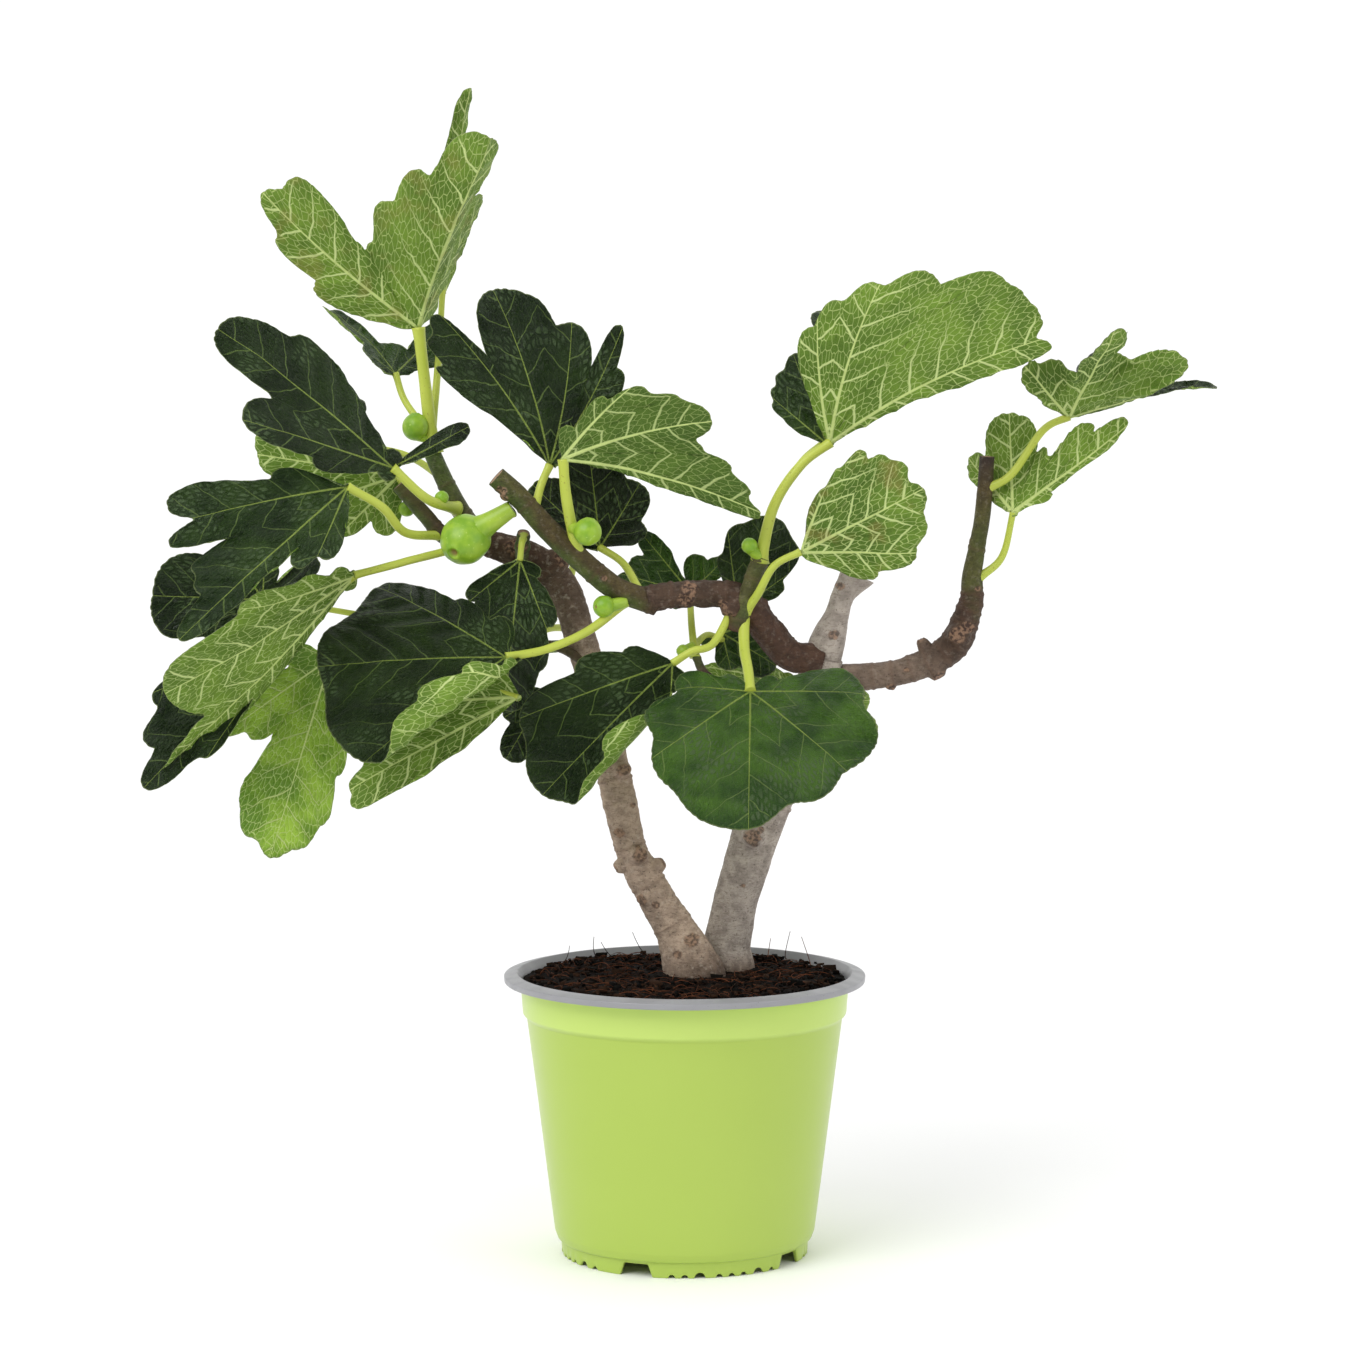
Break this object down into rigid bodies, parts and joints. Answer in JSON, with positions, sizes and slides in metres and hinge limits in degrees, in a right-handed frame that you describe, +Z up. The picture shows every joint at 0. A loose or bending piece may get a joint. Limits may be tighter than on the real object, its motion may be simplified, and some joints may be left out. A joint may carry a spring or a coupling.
{
  "type": "potted fig tree",
  "caption": "Young fig tree with two leaning trunks, knotted boughs, lobed leaves and green figs, standing in a tapered lime-green nursery pot filled with soil.",
  "frame": {"origin": "centre of the pot's underside, on the ground", "axes": "+Z up, +X to the right and -Y towards the front, the side the plant is seen from"},
  "size_m": [0.6115, 0.2448, 0.6756],
  "materials": {
    "pot": "smooth lime-green moulded plastic, satin gloss",
    "soil": "dark crumbly potting compost with bark chips",
    "bark": "grey-brown fig bark with lenticels and old scars",
    "brown_wood": "red-brown bark of two-year shoots with knobs",
    "green_wood": "green-brown bark of last year's shoots",
    "leaf": "living leaves: dark green above, pale and veined beneath"
  },
  "bodies": {
    "root": {"pot": "pot", "soil": "soil", "trunk_left": "bark", "trunk_right": "bark", "stub": "bark", "bough_right_low": "brown_wood", "bough_right_up": "green_wood", "bough_left_low": "brown_wood", "bough_left_up": "green_wood", "side_shoot": "green_wood", "twig_a": "green_wood", "twig_b": "green_wood", "twig_c": "green_wood", "twig_d": "brown_wood", "twig_e": "brown_wood", "leaves_top_left": "leaf", "leaf_left_upper": "leaf", "leaf_left_behind": "leaf", "leaf_left_front": "leaf", "leaves_left_lower": "leaf", "leaves_left_shade": "leaf", "leaf_centre_front": "leaf", "leaf_centre_hanging": "leaf", "leaf_trunk": "leaf", "leaf_centre_upper": "leaf", "leaf_centre_over": "leaf", "leaf_centre_back": "leaf", "leaves_inner": "leaf", "leaf_node": "leaf", "leaves_right_top": "leaf", "leaf_right_middle": "leaf", "leaf_right_far": "leaf", "leaf_right_low": "leaf", "leaf_front_left": "leaf", "leaf_front": "leaf", "leaf_back_left": "leaf", "leaf_back_top": "leaf", "leaf_back_low": "leaf", "leaf_back_upper": "leaf"}
  },
  "joints": []
}
